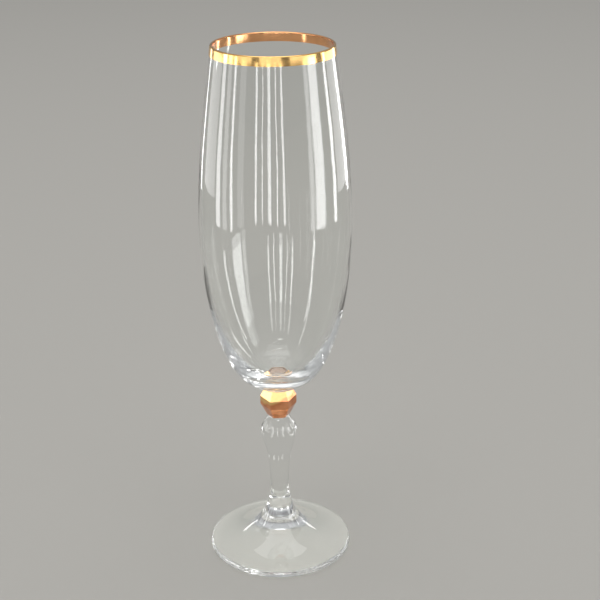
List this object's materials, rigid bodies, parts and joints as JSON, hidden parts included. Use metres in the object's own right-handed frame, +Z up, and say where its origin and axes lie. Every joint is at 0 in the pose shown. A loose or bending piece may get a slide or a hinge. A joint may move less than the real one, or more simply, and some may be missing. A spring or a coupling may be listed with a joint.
{
  "type": "champagne flute",
  "caption": "Tall champagne flute in clear crystal, with a gold-banded lip, a gilded faceted knop, a baluster stem and a round foot.",
  "frame": {"origin": "centre of the circle that the foot stands on, in the plane of the table", "axes": "+Z up along the axis of the glass, towards the lip; X and Y are square to it"},
  "size_m": [0.0614, 0.0614, 0.2201],
  "materials": {
    "crystal": "clear, fire-polished",
    "lip_gold": "bright fired gilding, lightly worn",
    "knop_gold": "fired gilding over cut facets"
  },
  "bodies": {
    "root": {"bowl": "crystal", "rim_gilding": "lip_gold", "knop_core": "crystal", "knop_gilding": "knop_gold", "stem": "crystal", "foot": "crystal"}
  },
  "joints": []
}
